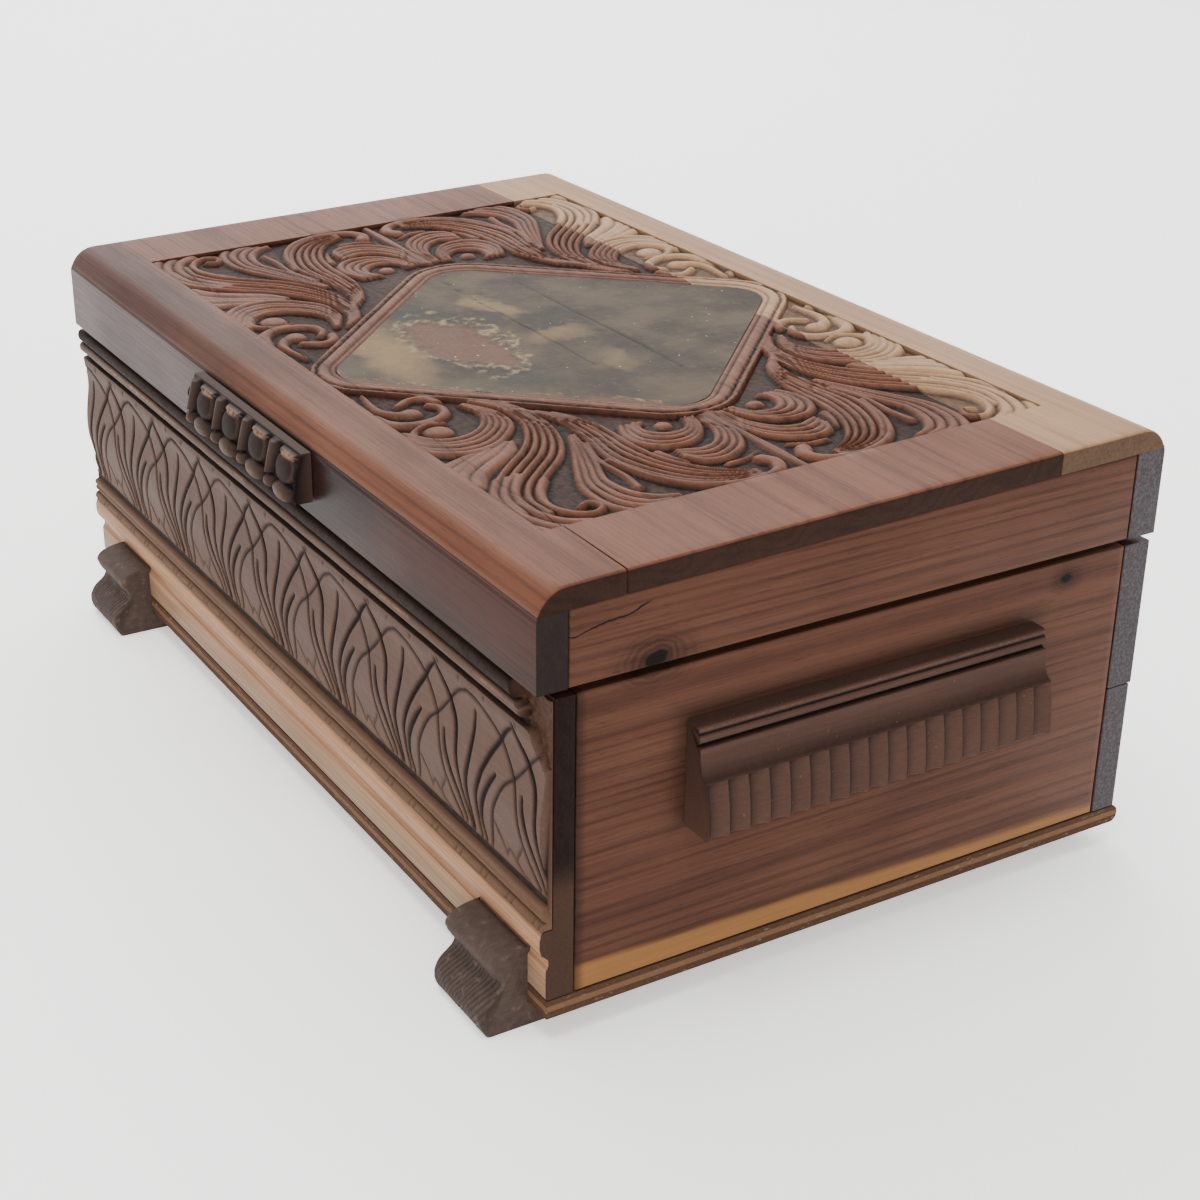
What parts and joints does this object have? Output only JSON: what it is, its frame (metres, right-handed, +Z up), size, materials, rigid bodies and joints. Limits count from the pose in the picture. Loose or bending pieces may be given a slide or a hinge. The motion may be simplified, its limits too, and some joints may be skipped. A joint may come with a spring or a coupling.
{
  "type": "jewelry box",
  "caption": "Hinged-lid wooden jewelry box with a carved top and diamond cartouche, embossed front strip, end handles, lid pull and low feet.",
  "frame": {"origin": "on the floor under the feet, in the middle of the whole box's length and depth, lid closed", "axes": "+X along the box from its left end to its right end, +Y from the front to the hinges, +Z up"},
  "size_m": [0.2866, 0.1734, 0.1078],
  "materials": {
    "red_cedar": "oiled red cedar boards, aged shellac, satin",
    "cedar_sapwood": "pale sapwood cedar, aged shellac, satin",
    "stained_moulding": "embossed wood moulding, dark stain worn on the high spots",
    "dark_moulding": "near-black stained moulding with carved shell grooves",
    "plywood": "three-ply board, bare and dusty at its edges",
    "varnished_print": "worn paper landscape print under crazed varnish",
    "mirror_glass": "silvered glass",
    "brass": "tarnished brass",
    "steel": "dull steel brads"
  },
  "bodies": {
    "case": {"bottom_board": "plywood", "front_board": "red_cedar", "back_board_upper": "red_cedar", "back_board_lower": "red_cedar", "end_panel_left": "red_cedar", "end_panel_right": "red_cedar", "front_carved_strip": "stained_moulding", "handle_left": "stained_moulding", "handle_right": "stained_moulding", "foot_front_left": "dark_moulding", "foot_front_right": "dark_moulding", "foot_back_left": "dark_moulding", "foot_back_right": "dark_moulding", "hinge_leaf_case_left": "brass", "hinge_leaf_case_right": "brass", "hinge_pin_left": "brass", "hinge_pin_right": "brass", "hinge_screw_case_1": "brass", "hinge_screw_case_2": "brass", "hinge_screw_case_3": "brass", "hinge_screw_case_4": "brass", "bottom_brad_1": "steel", "bottom_brad_2": "steel", "bottom_brad_3": "steel", "bottom_brad_4": "steel", "bottom_brad_5": "steel", "bottom_brad_6": "steel", "bottom_brad_7": "steel", "bottom_brad_8": "steel"},
    "lid": {"lid_plank_front": "red_cedar", "lid_plank_middle": "red_cedar", "lid_plank_back": "cedar_sapwood", "lid_front_rail": "red_cedar", "lid_back_rail": "red_cedar", "lid_end_left": "red_cedar", "lid_end_right": "red_cedar", "lid_pull": "stained_moulding", "lid_mirror": "mirror_glass", "mirror_bead_front": "red_cedar", "mirror_bead_back": "red_cedar", "mirror_bead_left": "red_cedar", "mirror_bead_right": "red_cedar", "cartouche_print": "varnished_print", "hinge_leaf_lid_left": "brass", "hinge_leaf_lid_right": "brass", "hinge_screw_lid_1": "brass", "hinge_screw_lid_2": "brass", "hinge_screw_lid_3": "brass", "hinge_screw_lid_4": "brass"}
  },
  "joints": [
    {"name": "lid_hinge", "type": "hinge", "parent": "case", "child": "lid", "pos_m": [0, 0.0851, 0.0812], "axis": [-1, 0, 0], "range_deg": [0, 105]}
  ]
}
